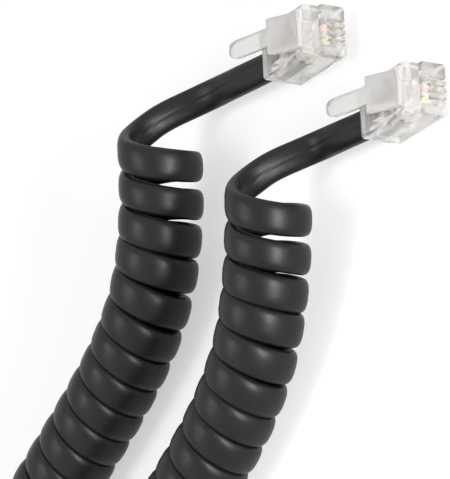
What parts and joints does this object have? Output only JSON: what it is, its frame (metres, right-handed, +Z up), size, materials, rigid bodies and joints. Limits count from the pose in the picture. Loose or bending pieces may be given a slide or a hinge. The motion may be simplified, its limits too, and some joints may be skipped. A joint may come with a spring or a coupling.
{
  "type": "coiled handset cord",
  "caption": "Black coiled telephone handset cord lying in a loop, with a clear latching modular plug on each end.",
  "frame": {"origin": "on the table, under the middle of the whole part's box", "axes": "+Z up from the table, +X from the coil's loop towards the two plugs"},
  "size_m": [0.151, 0.0789, 0.0167],
  "materials": {
    "jacket": "satin",
    "clear_plastic": "clear",
    "contact_gold": "polished",
    "wire_black": "satin",
    "wire_red": "satin",
    "wire_green": "satin",
    "wire_yellow": "satin"
  },
  "bodies": {
    "cord": {"coil": "jacket", "lead_a": "jacket", "lead_b": "jacket", "plug_housing_a": "clear_plastic", "jacket_anchor_a": "clear_plastic", "conductor_anchor_a": "clear_plastic", "contact_1_a": "contact_gold", "conductor_black_a": "wire_black", "contact_2_a": "contact_gold", "conductor_red_a": "wire_red", "contact_3_a": "contact_gold", "conductor_green_a": "wire_green", "contact_4_a": "contact_gold", "conductor_yellow_a": "wire_yellow", "plug_housing_b": "clear_plastic", "jacket_anchor_b": "clear_plastic", "conductor_anchor_b": "clear_plastic", "contact_1_b": "contact_gold", "conductor_black_b": "wire_black", "contact_2_b": "contact_gold", "conductor_red_b": "wire_red", "contact_3_b": "contact_gold", "conductor_green_b": "wire_green", "contact_4_b": "contact_gold", "conductor_yellow_b": "wire_yellow"},
    "latch_a": {"plug_latch_a": "clear_plastic"},
    "latch_b": {"plug_latch_b": "clear_plastic"}
  },
  "joints": [
    {"name": "latch_a_flex", "type": "hinge", "parent": "cord", "child": "latch_a", "pos_m": [0.07099, -0.01032, 0.00851], "axis": [-0.9167, -0.3996, 0], "range_deg": [0, 16], "stiffness_Nm_per_rad": 0.02},
    {"name": "latch_b_flex", "type": "hinge", "parent": "cord", "child": "latch_b", "pos_m": [0.06499, -0.03552, 0.00851], "axis": [-0.9167, -0.3996, 0], "range_deg": [0, 16], "stiffness_Nm_per_rad": 0.02}
  ]
}
